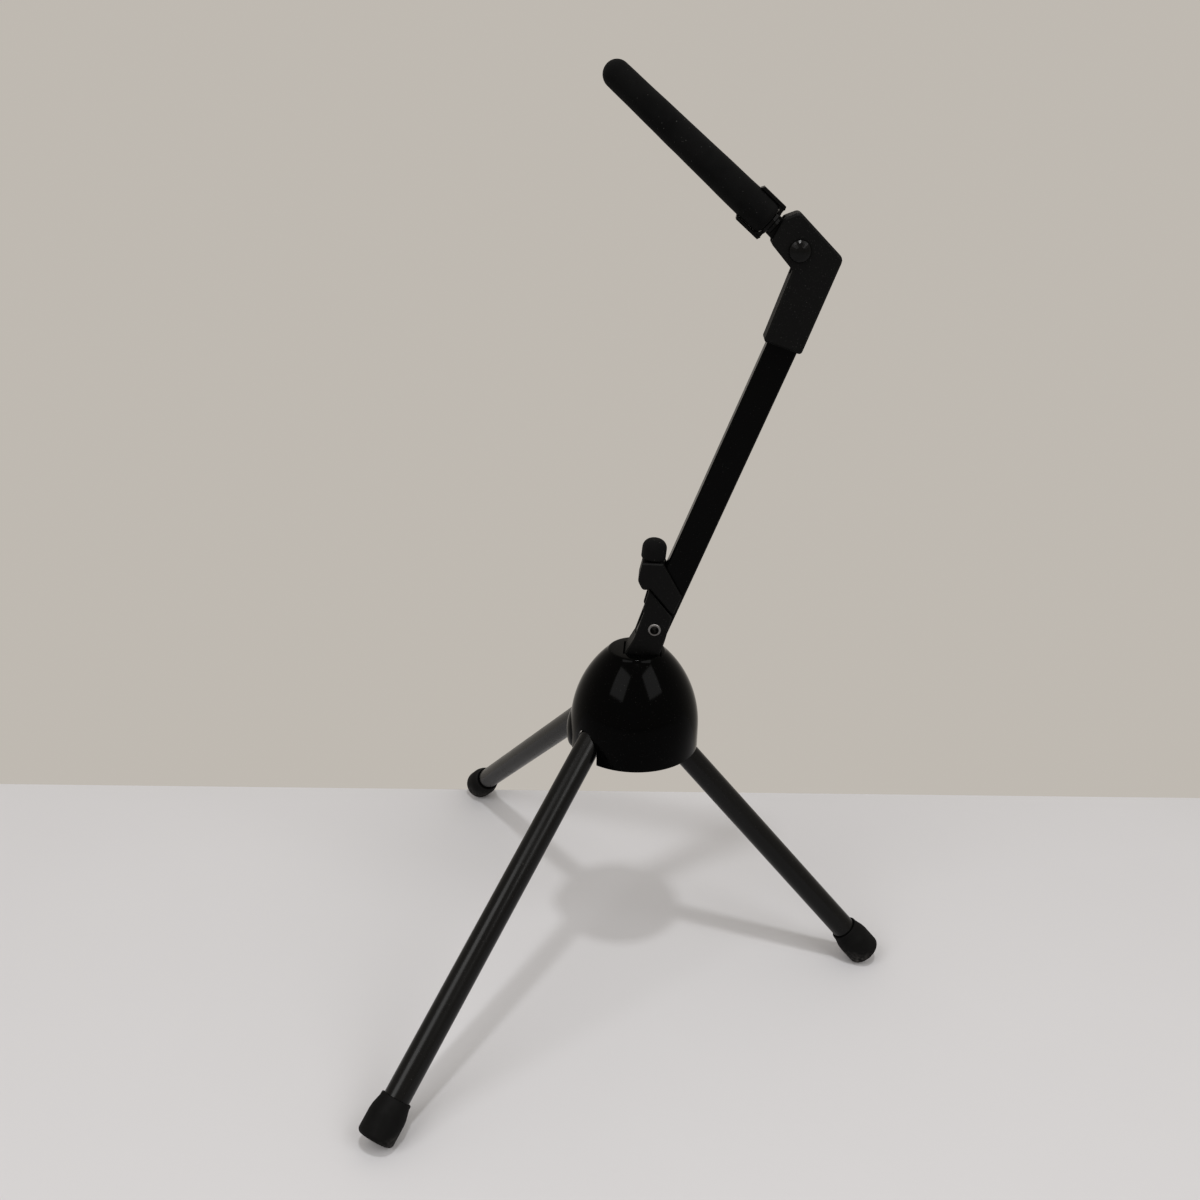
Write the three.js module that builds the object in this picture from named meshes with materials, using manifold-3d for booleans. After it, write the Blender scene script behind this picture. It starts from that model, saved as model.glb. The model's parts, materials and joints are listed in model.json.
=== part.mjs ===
// A folding trumpet stand. Three tubular legs pivot in a domed hub, a flat post leans back from a
// bracket in the hub's top, and an elbow on the post carries a foam-covered peg for the bell.
// Millimetres, +Z up, +X towards the rear leg, the XZ plane is the plane of symmetry.
import * as THREE from "three";
import { mergeVertices } from "three/addons/utils/BufferGeometryUtils.js";
import Module from "manifold-3d";

const wasm = await Module();
wasm.setup();

// ---------------------------------------------------------------- driving dimensions
const DEG = Math.PI / 180;
const GAP = 0.3; // clearance between pieces that touch
const RUNNING = 0.1; // radial clearance of a pin that turns in its hole

// Legs: each lies in a vertical plane through the line X = LEG_CENTRE_X, Y = 0.
const LEG_CENTRE_X = 13;
const LEG_RADIUS = 8;
const LEG_WALL = 1.2;
const LEG_PIVOT_REACH = 16; // from the centre line out to each pivot
const LEGS = [
  { name: "rear", azimuth: 0, slope: 49 * DEG, apex: 208.3 },
  { name: "left", azimuth: -122.8 * DEG, slope: 40.2 * DEG, apex: 202.2 },
  { name: "right", azimuth: 122.8 * DEG, slope: 40.2 * DEG, apex: 202.2 },
];
const TUBE_START = 15; // from the pivot along the leg
const TONGUE_THICKNESS = 8;
const TONGUE_RADIUS = 7;
const LEG_PIN_RADIUS = 2;

// Feet: rubber caps, trimmed where they stand on the floor.
const FOOT_RADIUS = 11.3;
const FOOT_RIM_RADIUS = 9.4;
const FOOT_LENGTH = 25;
const FOOT_TAPER = 8;
const FOOT_EDGE = 3;
const FOOT_SOLE = 4.5;
const FOOT_FLAT = 0.5; // how much the floor trims off

// Hub: an ogive dome with a straight skirt.
const HUB_X = 23.2;
const HUB_RADIUS = 41.5;
const HUB_BASE = 164;
const HUB_SPRING = 178; // where the skirt ends and the ogive starts
const HUB_TOP = 231;
const HUB_TOP_RADIUS = 17;
const HUB_WALL = 2.5;
const SLOT_CLEARANCE = 0.9; // around each leg where it leaves the skirt
const LOBE_REACH = 44.1; // how far the front lobe stands out from the hub's axis
const LOBE_Z = 172;
const CORE_PLATE_RADIUS = 29;
const CORE_PLATE_BOTTOM = 203;
const CORE_PLATE_TOP = 208;
const CORE_BOSS_TOP = 221;
const LUG_THICKNESS = 4;
const SCREW_CIRCLE = 24;
const SCREW_AZIMUTHS = [60, 180, -60];

// Post: a flat rectangular tube that turns on the fold rivet.
const FOLD_PIVOT = new THREE.Vector2(34.2, 248);
const POST_LEAN = 69.35 * DEG; // direction of the post above +X
const POST_WIDTH = 18;
const POST_THICKNESS = 10;
const POST_WALL = 1.2;
const POST_HEEL = 9; // how far the post reaches below the rivet
const POST_LENGTH = 228;
const BRACKET_THICKNESS = 18;
const BRACKET_PIN = new THREE.Vector2(27, 216); // fixes the bracket in the hub
const BRACKET_PIN_RADIUS = 2;
const RIVET_RADIUS = 3.2;
const RIVET_BORE = 2.5;
const RIVET_FLANGE = 4.1;

// Lever that frees the post.
const LEVER_PIVOT = new THREE.Vector2(43.5, 263.5);
const LEVER_THICKNESS = 16.8;
const LEVER_TRAVEL = 3 * DEG;
const GRIP_RADIUS = 7.6;
const GRIP_BASE = new THREE.Vector2(31.8, 292.5);
const GRIP_LEAN = 85 * DEG;
const GRIP_LENGTH = 12.6;

// Elbow and peg.
const PEG_PIVOT = new THREE.Vector2(106.4, 478.9);
const PEG_LEAN = 139.6 * DEG;
const PEG_TRAVEL = 80 * DEG;
const ELBOW_THICKNESS = 17;
const PEG_TONGUE = 7;
const CLEVIS_SLOT = 7.6;
const PEG_LENGTH = 143.2; // pivot to tip
const FOAM_START = 23;
const FOAM_BASE_RADIUS = 9.25;
const FOAM_TIP_RADIUS = 7.7;
const PEG_CORE_RADIUS = 4.5;
const FIN_OUTER = 11.5;
const FIN_THICKNESS = 2;
const FIN_END = 38.5;

// ---------------------------------------------------------------- solids and frames
const solidOf = (geometry) => {
  const bare = geometry.index ? geometry.toNonIndexed() : geometry.clone();
  bare.deleteAttribute("normal");
  bare.deleteAttribute("uv");
  const merged = mergeVertices(bare, 1e-4);
  const corners = merged.index.array;
  const kept = [];
  for (let i = 0; i < corners.length; i += 3) {
    const [a, b, c] = corners.slice(i, i + 3);
    if (a !== b && b !== c && c !== a) kept.push(a, b, c);
  }
  return new wasm.Manifold(
    new wasm.Mesh({
      numProp: 3,
      vertProperties: merged.attributes.position.array,
      triVerts: new Uint32Array(kept),
    }),
  );
};

const geometryOf = (solid) => {
  const mesh = solid.getMesh();
  const geometry = new THREE.BufferGeometry();
  geometry.setAttribute("position", new THREE.BufferAttribute(mesh.vertProperties, 3));
  geometry.setIndex(new THREE.BufferAttribute(mesh.triVerts, 1));
  return geometry;
};

const join = (...parts) => geometryOf(parts.map(solidOf).reduce((a, b) => a.add(b)));
const cut = (base, ...tools) => geometryOf(tools.map(solidOf).reduce((a, b) => a.subtract(b), solidOf(base)));

// Local frame for flat pieces: x and y become world X and Z, thickness runs along Y.
const UPRIGHT = new THREE.Matrix4().makeBasis(
  new THREE.Vector3(1, 0, 0),
  new THREE.Vector3(0, 0, 1),
  new THREE.Vector3(0, -1, 0),
);

// The same frame moved to a point of the XZ plane, with local y along the given direction.
const framedAt = (point, lean) =>
  UPRIGHT.clone()
    .multiply(new THREE.Matrix4().makeTranslation(point.x, point.y, 0))
    .multiply(new THREE.Matrix4().makeRotationZ(lean - Math.PI / 2));

// A closed outline from [x, y, corner radius] corners; each radius becomes a tangent arc.
function outline(corners) {
  const points = corners.flatMap(([x, y, radius = 0], i) => {
    const corner = new THREE.Vector2(x, y);
    if (radius === 0) return [corner];
    const before = corners.at(i - 1);
    const after = corners[(i + 1) % corners.length];
    const back = new THREE.Vector2(before[0] - x, before[1] - y).normalize();
    const ahead = new THREE.Vector2(after[0] - x, after[1] - y).normalize();
    const half = Math.acos(back.dot(ahead)) / 2;
    const inward = back.clone().add(ahead).normalize();
    const centre = corner.clone().addScaledVector(inward, radius / Math.sin(half));
    const turn = Math.sign(back.cross(ahead)) * (2 * half - Math.PI);
    const start = corner.clone().addScaledVector(back, radius / Math.tan(half));
    return [0, 1, 2, 3].map((k) => start.clone().rotateAround(centre, (turn * k) / 3));
  });
  return new THREE.Shape(points);
}

// A plate of the given outline, centred on its local z = 0, with rounded edges if asked.
function plate(shape, thickness, edge = 0) {
  const geometry = new THREE.ExtrudeGeometry(shape, {
    depth: thickness - 2 * edge,
    curveSegments: 6,
    bevelEnabled: edge > 0,
    bevelThickness: edge,
    bevelSize: edge,
    bevelOffset: -edge,
    bevelSegments: 1,
  });
  return geometry.translate(0, 0, edge - thickness / 2);
}

const disc = (x, y, radius, thickness, segments = 24) =>
  new THREE.CylinderGeometry(radius, radius, thickness, segments).rotateX(Math.PI / 2).translate(x, y, 0);

// A body of revolution about local y from [radius, y] pairs.
const turned = (profile, segments = 24) =>
  new THREE.LatheGeometry(profile.map(([r, y]) => new THREE.Vector2(r, y)), segments);

// Points of a circular arc for a profile.
const arc = (cx, cy, radius, from, to, steps) =>
  Array.from({ length: steps + 1 }, (_, i) => {
    const angle = from + ((to - from) * i) / steps;
    return [cx + radius * Math.cos(angle), cy + radius * Math.sin(angle)];
  });

const box = (x, y, z, w, d, h) => new THREE.BoxGeometry(w, d, h).translate(x, y, z);

// ---------------------------------------------------------------- the part and its materials
const stand = new THREE.Group();

const FINISHES = {
  gloss: { color: 0x0b0b0c, roughness: 0.18, metalness: 0.0 },
  paint: { color: 0x101011, roughness: 0.25, metalness: 0.3 },
  matte: { color: 0x1a1b1a, roughness: 0.6, metalness: 0.0 },
  rubber: { color: 0x151515, roughness: 0.85, metalness: 0.0 },
  foam: { color: 0x161817, roughness: 0.95, metalness: 0.0 },
  steel: { color: 0xb8b8b4, roughness: 0.3, metalness: 1.0 },
};

function addPiece(name, finish, geometry, frame = new THREE.Matrix4()) {
  const placed = geometry.clone().applyMatrix4(frame);
  const mesh = new THREE.Mesh(placed, new THREE.MeshStandardMaterial(FINISHES[finish]));
  mesh.name = name;
  stand.add(mesh);
}

// ---------------------------------------------------------------- legs
const outward = (leg) => new THREE.Vector3(Math.cos(leg.azimuth), Math.sin(leg.azimuth), 0);
const across = (leg) => new THREE.Vector3(-Math.sin(leg.azimuth), Math.cos(leg.azimuth), 0);

function legPivot(leg) {
  const height = leg.apex - LEG_PIVOT_REACH * Math.tan(leg.slope);
  return outward(leg).multiplyScalar(LEG_PIVOT_REACH).add(new THREE.Vector3(LEG_CENTRE_X, 0, height));
}

// Local y runs down the leg from its pivot and local z along the pivot pin.
function legFrame(leg) {
  const along = outward(leg).multiplyScalar(Math.cos(leg.slope)).setZ(-Math.sin(leg.slope));
  const pin = across(leg);
  const side = new THREE.Vector3().crossVectors(along, pin);
  return new THREE.Matrix4().makeBasis(side, along, pin).setPosition(legPivot(leg));
}

// Local y up, local x outward, for what stands still around a leg's pivot.
const hubFrame = (leg) =>
  new THREE.Matrix4()
    .makeBasis(outward(leg), new THREE.Vector3(0, 0, 1), across(leg).negate())
    .setPosition(legPivot(leg));

// From the pivot to the foot's end, so that the foot's rounded edge dips FOOT_FLAT into the floor.
function legLength(leg) {
  const edgeDrop = (FOOT_RADIUS - FOOT_EDGE) * Math.cos(leg.slope) + FOOT_EDGE;
  const endHeight = edgeDrop - FOOT_EDGE * Math.sin(leg.slope) - FOOT_FLAT;
  return (legPivot(leg).z - endHeight) / Math.sin(leg.slope);
}

function legTube(leg) {
  const end = legLength(leg) - FOOT_SOLE - GAP;
  const inner = LEG_RADIUS - LEG_WALL;
  return turned(
    [
      [inner, TUBE_START],
      [LEG_RADIUS, TUBE_START],
      [LEG_RADIUS, end],
      [inner, end],
      [inner, TUBE_START],
    ],
    28,
  );
}

// Moulded end of a leg: a plug in the tube, a shoulder against its end and a tongue on the pin.
function legKnuckle() {
  const plugRadius = LEG_RADIUS - LEG_WALL - GAP;
  const shoulder = TUBE_START - GAP;
  const plug = turned([
    [0, shoulder - 3.5],
    [LEG_RADIUS - 1, shoulder - 3.5],
    [LEG_RADIUS, shoulder - 2.5],
    [LEG_RADIUS, shoulder],
    [plugRadius, shoulder],
    [plugRadius, shoulder + 17],
    [plugRadius - 1, shoulder + 18],
    [0, shoulder + 18],
  ]);
  const tongue = new THREE.Shape();
  tongue.moveTo(TONGUE_RADIUS, shoulder - 2);
  tongue.lineTo(-TONGUE_RADIUS, shoulder - 2);
  tongue.absarc(0, 0, TONGUE_RADIUS, Math.PI, 2 * Math.PI, false);
  tongue.closePath();
  const hole = disc(0, 0, LEG_PIN_RADIUS + RUNNING, 2 * TONGUE_THICKNESS);
  return cut(join(plug, plate(tongue, TONGUE_THICKNESS, 0.6)), hole);
}

function legPin() {
  const length = TONGUE_THICKNESS + 2 * LUG_THICKNESS + 2 * GAP + 1;
  return disc(0, 0, LEG_PIN_RADIUS, length);
}

function foot(leg) {
  const end = legLength(leg);
  const rim = end - FOOT_LENGTH;
  const bore = LEG_RADIUS + GAP / 2;
  const cap = turned(
    [
      [0, end - FOOT_SOLE],
      [bore, end - FOOT_SOLE],
      [bore, rim],
      [FOOT_RIM_RADIUS - 0.5, rim],
      [FOOT_RIM_RADIUS, rim + 0.5],
      [FOOT_RADIUS - 0.3, rim + FOOT_TAPER],
      [FOOT_RADIUS, rim + FOOT_TAPER + 3],
      ...arc(FOOT_RADIUS - FOOT_EDGE, end - FOOT_EDGE, FOOT_EDGE, 0, Math.PI / 2, 4),
      [0, end],
    ],
    28,
  ).applyMatrix4(legFrame(leg));
  const reach = 4 * FOOT_LENGTH;
  const centre = new THREE.Vector3(0, end, 0).applyMatrix4(legFrame(leg));
  return cut(cap, box(centre.x, centre.y, -reach / 2, reach, reach, reach));
}

function buildLegs() {
  for (const leg of LEGS) {
    addPiece(`leg_tube_${leg.name}`, "paint", legTube(leg), legFrame(leg));
    addPiece(`leg_knuckle_${leg.name}`, "matte", legKnuckle(), legFrame(leg));
    addPiece(`leg_pin_${leg.name}`, "steel", legPin(), legFrame(leg));
    addPiece(`foot_${leg.name}`, "rubber", foot(leg));
  }
}

// ---------------------------------------------------------------- hub
const HUB_FRAME = new THREE.Matrix4()
  .makeBasis(new THREE.Vector3(1, 0, 0), new THREE.Vector3(0, 0, 1), new THREE.Vector3(0, -1, 0))
  .setPosition(HUB_X, 0, 0);

// The dome as a full solid, shrunk all round by the given inset.
function domeSolid(inset) {
  const rise = HUB_TOP - HUB_SPRING;
  const narrowing = HUB_RADIUS - HUB_TOP_RADIUS;
  const bend = (narrowing ** 2 + rise ** 2) / (2 * narrowing);
  const radius = bend - inset;
  const top = HUB_TOP - inset;
  const base = inset > 0 ? HUB_BASE - 1 : HUB_BASE;
  const shoulder = 1.2;
  const endAngle = Math.asin((top - shoulder - HUB_SPRING) / radius);
  const edge = HUB_RADIUS - bend + radius * Math.cos(endAngle);
  const profile = turned(
    [
      [0, base],
      [HUB_RADIUS - inset - (inset > 0 ? 0 : 0.6), base],
      [HUB_RADIUS - inset, base + 0.6],
      ...arc(HUB_RADIUS - bend, HUB_SPRING, radius, 0, endAngle, 8),
      [edge - 0.7, top - 0.5],
      [edge - 1.8, top],
      [0, top],
    ],
    44,
  );
  return join(profile.applyMatrix4(HUB_FRAME), frontLobe(inset));
}

// The skirt swells between the two front legs.
function frontLobe(inset) {
  const size = new THREE.Vector3(13, 17, 21);
  const centre = HUB_X - LOBE_REACH + size.x;
  const lobe = new THREE.SphereGeometry(1, 20, 14);
  lobe.scale(size.x - inset, size.y - inset, size.z - inset).translate(centre, 0, LOBE_Z);
  const below = box(centre, 0, HUB_BASE - 50 - (inset > 0 ? 1 : 0), 100, 100, 100);
  return cut(lobe, below);
}

// What a leg sweeps between open and hanging straight down, with room to spare.
function legSlot(leg) {
  const half = LEG_RADIUS + SLOT_CLEARANCE;
  const reach = 70;
  const down = Math.sin(leg.slope);
  const out = Math.cos(leg.slope);
  const fan = new THREE.Shape([
    new THREE.Vector2(0, 0),
    new THREE.Vector2(0, -reach),
    new THREE.Vector2(reach * out, -reach),
    new THREE.Vector2(reach * out, -reach * down),
  ]);
  const tunnel = new THREE.CylinderGeometry(half, half, reach, 20).translate(0, reach / 2, 0);
  return join(
    plate(fan, 2 * half).applyMatrix4(hubFrame(leg)),
    tunnel.applyMatrix4(legFrame(leg)),
  );
}

const screwSpots = () =>
  SCREW_AZIMUTHS.map((a) => [
    HUB_X + SCREW_CIRCLE * Math.cos(a * DEG),
    SCREW_CIRCLE * Math.sin(a * DEG),
  ]);

const upright = (x, y, bottom, top, radius) =>
  new THREE.CylinderGeometry(radius, radius, top - bottom, 16)
    .rotateX(Math.PI / 2)
    .translate(x, y, (bottom + top) / 2);

function hubShell() {
  const columns = screwSpots().map(([x, y]) => upright(x, y, CORE_PLATE_TOP + GAP, HUB_TOP, 4));
  const bores = screwSpots().map(([x, y]) => upright(x, y, CORE_PLATE_TOP, CORE_PLATE_TOP + 7, 1.6));
  const hollow = cut(domeSolid(HUB_WALL), ...columns);
  const bracketHole = plate(outline(bracketCorners(0.5)), BRACKET_THICKNESS + 1).applyMatrix4(UPRIGHT);
  return cut(domeSolid(0), hollow, bracketHole, ...LEGS.map(legSlot), ...bores);
}

// A pair of lugs that carries one leg pin.
function lugs(leg) {
  const rise = CORE_PLATE_BOTTOM + 1 - legPivot(leg).z;
  const lug = new THREE.Shape();
  lug.moveTo(TONGUE_RADIUS, rise);
  lug.lineTo(-TONGUE_RADIUS, rise);
  lug.absarc(0, 0, TONGUE_RADIUS, Math.PI, 2 * Math.PI, false);
  lug.closePath();
  const offset = TONGUE_THICKNESS / 2 + GAP + LUG_THICKNESS / 2;
  const hole = disc(0, 0, LEG_PIN_RADIUS + RUNNING, 40);
  const pair = [-offset, offset].map((z) => cut(plate(lug, LUG_THICKNESS).translate(0, 0, z), hole));
  return pair.map((g) => g.applyMatrix4(hubFrame(leg)));
}

function hubCore() {
  const disk = turned(
    [
      [0, CORE_PLATE_BOTTOM],
      [CORE_PLATE_RADIUS, CORE_PLATE_BOTTOM],
      [CORE_PLATE_RADIUS, CORE_PLATE_TOP],
      [0, CORE_PLATE_TOP],
    ],
    36,
  ).applyMatrix4(HUB_FRAME);
  const bossHeight = CORE_BOSS_TOP - CORE_PLATE_BOTTOM;
  const boss = box(26.8, 0, CORE_PLATE_BOTTOM + bossHeight / 2, 29, 25, bossHeight);
  const pocket = plate(outline(bracketCorners(GAP)), BRACKET_THICKNESS + 2 * GAP).applyMatrix4(UPRIGHT);
  const pinHole = disc(BRACKET_PIN.x, BRACKET_PIN.y, BRACKET_PIN_RADIUS + RUNNING, 60);
  const screwHoles = screwSpots().map(([x, y]) =>
    upright(x, y, CORE_PLATE_BOTTOM - 1, CORE_PLATE_TOP + 1, 1.9),
  );
  const block = join(disk, boss, ...LEGS.flatMap(lugs));
  return cut(block, pocket, pinHole.applyMatrix4(UPRIGHT), ...screwHoles);
}

function hubScrew(x, y) {
  const head = upright(x, y, CORE_PLATE_BOTTOM - GAP - 2.4, CORE_PLATE_BOTTOM - GAP, 3.4);
  const shank = upright(x, y, CORE_PLATE_BOTTOM - 1, CORE_PLATE_TOP + 6, 1.4);
  const slots = [box(x, y, CORE_PLATE_BOTTOM - 3, 4, 0.8, 2), box(x, y, CORE_PLATE_BOTTOM - 3, 0.8, 4, 2)];
  return cut(join(head, shank), ...slots);
}

function buildHub() {
  addPiece("hub_shell", "gloss", hubShell());
  addPiece("hub_core", "matte", hubCore());
  screwSpots().forEach(([x, y], i) => addPiece(`hub_screw_${i + 1}`, "steel", hubScrew(x, y)));
  addPiece("post_bracket", "matte", postBracket());
  addPiece("bracket_pin", "steel", disc(BRACKET_PIN.x, BRACKET_PIN.y, BRACKET_PIN_RADIUS, 24.4), UPRIGHT);
  addPiece("fold_rivet", "steel", foldRivet());
}

// ---------------------------------------------------------------- bracket and fold rivet
// Side outline of the bracket, grown all round for the holes it sits in.
function bracketCorners(grow) {
  const top = grow > 0 ? 40 : 0;
  return [
    [30 - grow, 274 + top],
    [44.8 + grow, 256.6 + top],
    [43.8 + grow, 252.4],
    [40.9 + grow, 240.2],
    [38.2 + grow, 231],
    [38.2 + grow, 211 - grow],
    [15.5 - grow, 211 - grow],
    [15.5 - grow, 230],
    [21.7 - grow, 241.2],
    [27.4 - grow, 259],
    [26.7 - grow, 260.6],
  ].reverse();
}

// A forked bracket: the post stands between its two ears. Its square heel on the slot's floor stops
// it from tipping forward, and its straight back edge lies on the same floor when it is folded down.
function postBracket() {
  const body = plate(outline(bracketCorners(0)), BRACKET_THICKNESS, 0.8);
  const slotWidth = POST_THICKNESS + 2 * 0.4;
  const floorSlot = plate(
    outline([
      [-60, -POST_HEEL - GAP],
      [30, -POST_HEEL - GAP],
      [30, 60],
      [-60, 60],
    ]),
    slotWidth,
  ).applyMatrix4(new THREE.Matrix4().copy(UPRIGHT).invert().multiply(framedAt(FOLD_PIVOT, POST_LEAN)));
  const rivetHole = disc(FOLD_PIVOT.x, FOLD_PIVOT.y, RIVET_RADIUS + RUNNING, 60);
  const pinHole = disc(BRACKET_PIN.x, BRACKET_PIN.y, BRACKET_PIN_RADIUS + RUNNING, 60);
  return cut(body, floorSlot, rivetHole, pinHole).applyMatrix4(UPRIGHT);
}

// A tubular rivet with a rolled flange at each end.
function foldRivet() {
  const half = BRACKET_THICKNESS / 2 + 0.1;
  const profile = [
    [RIVET_BORE, -half - 0.9],
    [RIVET_FLANGE - 0.5, -half - 0.9],
    [RIVET_FLANGE, -half - 0.4],
    [RIVET_FLANGE, -half],
    [RIVET_RADIUS, -half],
    [RIVET_RADIUS, half],
    [RIVET_FLANGE, half],
    [RIVET_FLANGE, half + 0.4],
    [RIVET_FLANGE - 0.5, half + 0.9],
    [RIVET_BORE, half + 0.9],
    [RIVET_BORE, -half - 0.9],
  ];
  return turned(profile, 24).translate(FOLD_PIVOT.x, 0, FOLD_PIVOT.y);
}

// ---------------------------------------------------------------- post
// Side outline of the post in its own frame: square heel at the front, round at the back.
function postShape(width, start, end, heel) {
  const shape = new THREE.Shape();
  const half = width / 2;
  shape.moveTo(half, end);
  shape.lineTo(-half, end);
  if (start < 0) {
    shape.lineTo(-half, -heel);
    shape.absarc(0, 0, half, 1.5 * Math.PI, 2 * Math.PI, false);
  } else {
    shape.lineTo(-half, start);
    shape.lineTo(half, start);
  }
  shape.closePath();
  return shape;
}

const POST_FRAME = framedAt(FOLD_PIVOT, POST_LEAN);

// The lever's pivot in the post's frame.
const leverInPost = () => {
  const fromPivot = LEVER_PIVOT.clone().sub(FOLD_PIVOT);
  return fromPivot.rotateAround(new THREE.Vector2(), Math.PI / 2 - POST_LEAN);
};

function postTube() {
  const outer = plate(postShape(POST_WIDTH, -1, POST_LENGTH, POST_HEEL), POST_THICKNESS, 0.9);
  const bore = outline([
    [-POST_WIDTH / 2 + POST_WALL, -POST_HEEL - 1],
    [POST_WIDTH / 2 - POST_WALL, -POST_HEEL - 1],
    [POST_WIDTH / 2 - POST_WALL, POST_LENGTH + 1],
    [-POST_WIDTH / 2 + POST_WALL, POST_LENGTH + 1],
  ]);
  const lever = leverInPost();
  return cut(
    outer,
    plate(bore, POST_THICKNESS - 2 * POST_WALL),
    disc(0, 0, RIVET_RADIUS + RUNNING, 40),
    disc(lever.x, lever.y, 1.6, 40),
  );
}

// Moulded block that fills the tube around the rivet.
function postFoot() {
  const width = POST_WIDTH - 2 * POST_WALL - GAP;
  const block = plate(
    outline([
      [-width / 2, -POST_HEEL + 0.2],
      [width / 4, -POST_HEEL + 1.5],
      [width / 2, -3],
      [width / 2, 12],
      [-width / 2, 12],
    ]),
    POST_THICKNESS - 2 * POST_WALL - GAP,
  );
  return cut(block, disc(0, 0, RIVET_RADIUS + RUNNING, 40));
}

// ---------------------------------------------------------------- release lever
const LEVER_CORNERS = [
  [25.4, 291.6],
  [22.8, 280, 5],
  [26, 273.8, 2.5],
  [30.5, 274.5],
  [45.25, 257.2, 1.6],
  [50.4, 270, 2],
  [39.6, 289, 2],
  [38.2, 291.6],
];

// A moulded lever: two cheeks either side of the post, a web in front of it and a stub for the grip.
function leverBody() {
  const body = plate(outline(LEVER_CORNERS), LEVER_THICKNESS, 0.8);
  const stub = stubFrame();
  const stem = new THREE.CylinderGeometry(3.4, 4, 9, 24).translate(0, 2.5, 0).applyMatrix4(stub);
  const envelope = plate(postShape(POST_WIDTH + 2 * GAP, 2, 60, 0), POST_THICKNESS + 0.8);
  const inUpright = UPRIGHT.clone().invert().multiply(POST_FRAME);
  const sweeps = [0, 0.5, 1].map((share) => {
    const turn = new THREE.Matrix4().makeTranslation(LEVER_PIVOT.x, LEVER_PIVOT.y, 0);
    turn.multiply(new THREE.Matrix4().makeRotationZ(share * LEVER_TRAVEL));
    turn.multiply(new THREE.Matrix4().makeTranslation(-LEVER_PIVOT.x, -LEVER_PIVOT.y, 0));
    return envelope.clone().applyMatrix4(turn.multiply(inUpright));
  });
  const pinHole = disc(LEVER_PIVOT.x, LEVER_PIVOT.y, 1.5 + RUNNING, LEVER_THICKNESS - 1.6);
  return cut(join(body, stem), ...sweeps, pinHole).applyMatrix4(UPRIGHT);
}

// Local y up the grip from its base, in the flat pieces' frame.
const stubFrame = () =>
  new THREE.Matrix4()
    .makeTranslation(GRIP_BASE.x, GRIP_BASE.y, 0)
    .multiply(new THREE.Matrix4().makeRotationZ(GRIP_LEAN - Math.PI / 2));

// Foam cap pushed over the lever's stub.
function leverGrip() {
  const dome = 6;
  return turned([
    [0, 7.4],
    [3.6, 7.4],
    [4.3, 0],
    [GRIP_RADIUS - 0.8, 0],
    [GRIP_RADIUS, 0.8],
    ...arc(GRIP_RADIUS - dome, GRIP_LENGTH - dome, dome, 0, Math.PI / 2, 5),
    [0, GRIP_LENGTH],
  ]).applyMatrix4(UPRIGHT.clone().multiply(stubFrame()));
}

class Coil extends THREE.Curve {
  constructor(radius, pitch, turns) {
    super();
    Object.assign(this, { radius, pitch, turns });
  }

  getPoint(t, target = new THREE.Vector3()) {
    const angle = 2 * Math.PI * this.turns * t;
    const height = this.pitch * this.turns * (t - 0.5);
    return target.set(this.radius * Math.cos(angle), this.radius * Math.sin(angle), height);
  }
}

// Torsion spring around the lever's pin, inside the post.
function leverSpring() {
  const wire = new THREE.Shape().absarc(0, 0, 0.4, 0, 2 * Math.PI, false);
  const coil = new THREE.ExtrudeGeometry(wire, {
    steps: 44,
    curveSegments: 3,
    extrudePath: new Coil(2.4, 1.25, 4),
  });
  return coil.translate(LEVER_PIVOT.x, LEVER_PIVOT.y, 0).applyMatrix4(UPRIGHT);
}

function buildPost() {
  addPiece("post_tube", "paint", postTube(), POST_FRAME);
  addPiece("post_foot", "matte", postFoot(), POST_FRAME);
  addPiece("lever_body", "matte", leverBody());
  addPiece("lever_grip", "foam", leverGrip());
  addPiece("lever_pin", "steel", disc(LEVER_PIVOT.x, LEVER_PIVOT.y, 1.5, LEVER_THICKNESS - 2.4), UPRIGHT);
  addPiece("lever_spring", "steel", leverSpring());
}

// ---------------------------------------------------------------- elbow
const ELBOW_CORNERS = [
  [89.9, 428.7, 1.5],
  [111.5, 421.6, 1.8],
  [130.6, 475.2, 4],
  [105.2, 499.4, 3],
  [97, 496.2, 2],
  [90.2, 482.6, 2.5],
  [103.2, 468.2, 1.5],
];

// A moulded elbow: a socket over the post's top and a clevis for the peg.
function elbow() {
  const body = plate(outline(ELBOW_CORNERS), ELBOW_THICKNESS, 1.2);
  const socket = plate(
    outline([
      [-POST_WIDTH / 2 - GAP, 150],
      [POST_WIDTH / 2 + GAP, 150],
      [POST_WIDTH / 2 + GAP, POST_LENGTH + GAP],
      [-POST_WIDTH / 2 - GAP, POST_LENGTH + GAP],
    ]),
    POST_THICKNESS + 2 * GAP,
  ).applyMatrix4(UPRIGHT.clone().invert().multiply(POST_FRAME));
  const hole = disc(PEG_PIVOT.x, PEG_PIVOT.y, 2.5 + RUNNING, 60);
  return cut(body, socket, clevisSlot(), hole).applyMatrix4(UPRIGHT);
}

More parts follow.
